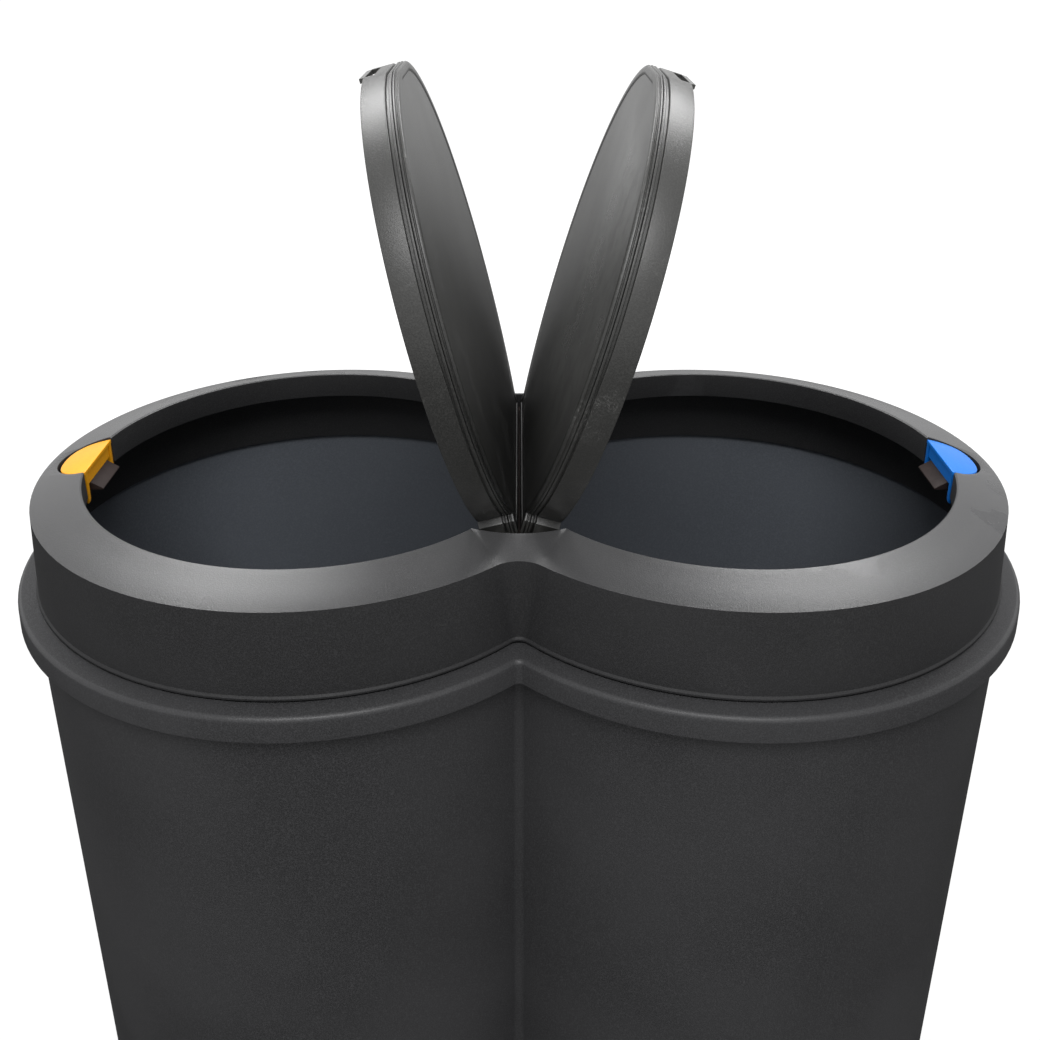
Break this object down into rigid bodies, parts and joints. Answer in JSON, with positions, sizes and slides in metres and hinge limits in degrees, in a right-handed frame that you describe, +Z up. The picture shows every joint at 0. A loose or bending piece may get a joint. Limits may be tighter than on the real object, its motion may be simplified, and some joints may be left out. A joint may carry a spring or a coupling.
{
  "type": "double recycling bin",
  "caption": "Free-standing double waste bin: figure-eight tub with divider, two-mouthed lid frame, and round sprung lids held shut by push-button latches.",
  "frame": {"origin": "on the floor, midway between the two round lobes", "axes": "+Z up, +X towards the lobe with the blue button, -Y towards the front"},
  "size_m": [0.531, 0.3134, 0.7027],
  "materials": {
    "charcoal_plastic": "fine moulded grain",
    "lid_plastic": "fine moulded grain, satin",
    "dark_plastic": "smooth moulded",
    "yellow_plastic": "smooth moulded, satin",
    "blue_plastic": "smooth moulded, satin",
    "zinc_steel": "bright drawn wire"
  },
  "bodies": {
    "bin": {"bin_body": "charcoal_plastic", "divider_panel": "charcoal_plastic", "lid_frame": "charcoal_plastic", "hinge_bridge": "charcoal_plastic", "bridge_screw_front": "zinc_steel", "bridge_screw_back": "zinc_steel", "hinge_rod_right": "zinc_steel", "torsion_spring_right": "zinc_steel", "latch_housing_right": "dark_plastic", "latch_spring_right": "zinc_steel", "hinge_rod_left": "zinc_steel", "torsion_spring_left": "zinc_steel", "latch_housing_left": "dark_plastic", "latch_spring_left": "zinc_steel"},
    "lid_right": {"lid_shell_right": "lid_plastic", "lid_cover_right": "lid_plastic"},
    "lid_left": {"lid_shell_left": "lid_plastic", "lid_cover_left": "lid_plastic"},
    "button_right": {"latch_button_right": "blue_plastic"},
    "button_left": {"latch_button_left": "yellow_plastic"},
    "bolt_right": {"latch_bolt_right": "dark_plastic"},
    "bolt_left": {"latch_bolt_left": "dark_plastic"}
  },
  "joints": [
    {"name": "lid_hinge_left", "type": "hinge", "parent": "bin", "child": "lid_left", "pos_m": [-0.01, 0, 0.4924], "axis": [0, -1, 0], "range_deg": [0, 75.3], "stiffness_Nm_per_rad": 0.2, "springref_deg": -34.38, "deforming": ["torsion_spring_left"]},
    {"name": "lid_hinge_right", "type": "hinge", "parent": "bin", "child": "lid_right", "pos_m": [0.01, 0, 0.4924], "axis": [0, 1, 0], "range_deg": [0, 73.1], "stiffness_Nm_per_rad": 0.2, "springref_deg": -34.38, "deforming": ["torsion_spring_right"]},
    {"name": "button_press_left", "type": "slide", "parent": "bin", "child": "button_left", "axis": [0, 0, -1], "range_m": [0, 0.003], "stiffness_N_per_m": 400, "springref_m": -0.003},
    {"name": "button_press_right", "type": "slide", "parent": "bin", "child": "button_right", "axis": [0, 0, -1], "range_m": [0, 0.003], "stiffness_N_per_m": 400, "springref_m": -0.003},
    {"name": "bolt_slide_left", "type": "slide", "parent": "bin", "child": "bolt_left", "axis": [-1, 0, 0], "range_m": [0, 0.005], "deforming": ["latch_spring_left"]},
    {"name": "bolt_slide_right", "type": "slide", "parent": "bin", "child": "bolt_right", "axis": [1, 0, 0], "range_m": [0, 0.005], "deforming": ["latch_spring_right"]}
  ],
  "couplings": [
    {"joint": "bolt_slide_left", "follows": "button_press_left", "ratio": 1.6667},
    {"joint": "bolt_slide_right", "follows": "button_press_right", "ratio": 1.6667}
  ]
}
